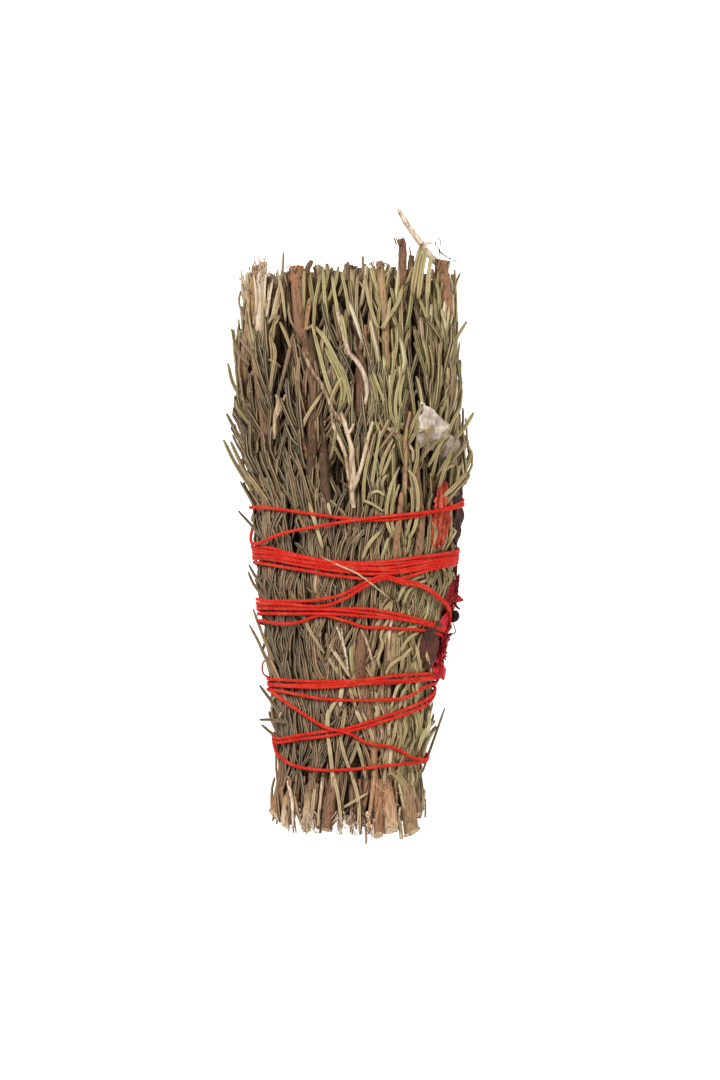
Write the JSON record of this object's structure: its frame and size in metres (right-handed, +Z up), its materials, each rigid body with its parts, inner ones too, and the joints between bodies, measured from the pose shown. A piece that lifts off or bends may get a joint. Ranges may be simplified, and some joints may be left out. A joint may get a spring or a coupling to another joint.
{
  "type": "herb smudge stick",
  "caption": "Tapered bundle of dried rosemary sprigs lying down, cut level at both ends and wound with red cotton thread, with twigs, petals and a pressed flower.",
  "frame": {"origin": "under the middle of the bounding box, on the surface that the bundle lies on", "axes": "+Y along the bundle from the bare stem ends to the leafy head, +Z up from the surface, +X to the right when seen from above with the head away from the viewer"},
  "size_m": [0.0598, 0.1576, 0.0424],
  "materials": {
    "rosemary_leaf": "matt dried needles and bark",
    "woody_stem": "matt bark",
    "pale_twig": "matt peeled twig",
    "cotton_thread": "matt twisted cotton",
    "dry_leaf": "matt dried leaf",
    "dark_petal": "matt dried petal",
    "red_petal": "matt dried petal"
  },
  "bodies": {
    "root": {"winding_thread": "cotton_thread", "forked_twig": "pale_twig", "crooked_twig": "pale_twig", "dry_leaf": "dry_leaf", "maroon_petal": "dark_petal", "brown_petal": "dark_petal", "red_petal_strip": "red_petal", "red_flower": "red_petal", "leafy_sprig_01": "rosemary_leaf", "leafy_sprig_02": "rosemary_leaf", "leafy_sprig_03": "rosemary_leaf", "leafy_sprig_04": "rosemary_leaf", "leafy_sprig_05": "rosemary_leaf", "leafy_sprig_06": "rosemary_leaf", "leafy_sprig_07": "rosemary_leaf", "leafy_sprig_08": "rosemary_leaf", "leafy_sprig_09": "rosemary_leaf", "leafy_sprig_10": "rosemary_leaf", "leafy_sprig_11": "rosemary_leaf", "leafy_sprig_12": "rosemary_leaf", "leafy_sprig_13": "rosemary_leaf", "leafy_sprig_14": "rosemary_leaf", "leafy_sprig_15": "rosemary_leaf", "leafy_sprig_16": "rosemary_leaf", "leafy_sprig_17": "rosemary_leaf", "leafy_sprig_18": "rosemary_leaf", "inner_sprig_01": "rosemary_leaf", "inner_sprig_02": "rosemary_leaf", "inner_sprig_03": "rosemary_leaf", "inner_sprig_04": "rosemary_leaf", "inner_sprig_05": "rosemary_leaf", "inner_sprig_06": "rosemary_leaf", "inner_sprig_07": "rosemary_leaf", "inner_sprig_08": "rosemary_leaf", "middle_stem_01": "woody_stem", "middle_stem_02": "woody_stem", "middle_stem_03": "woody_stem"}
  },
  "joints": []
}
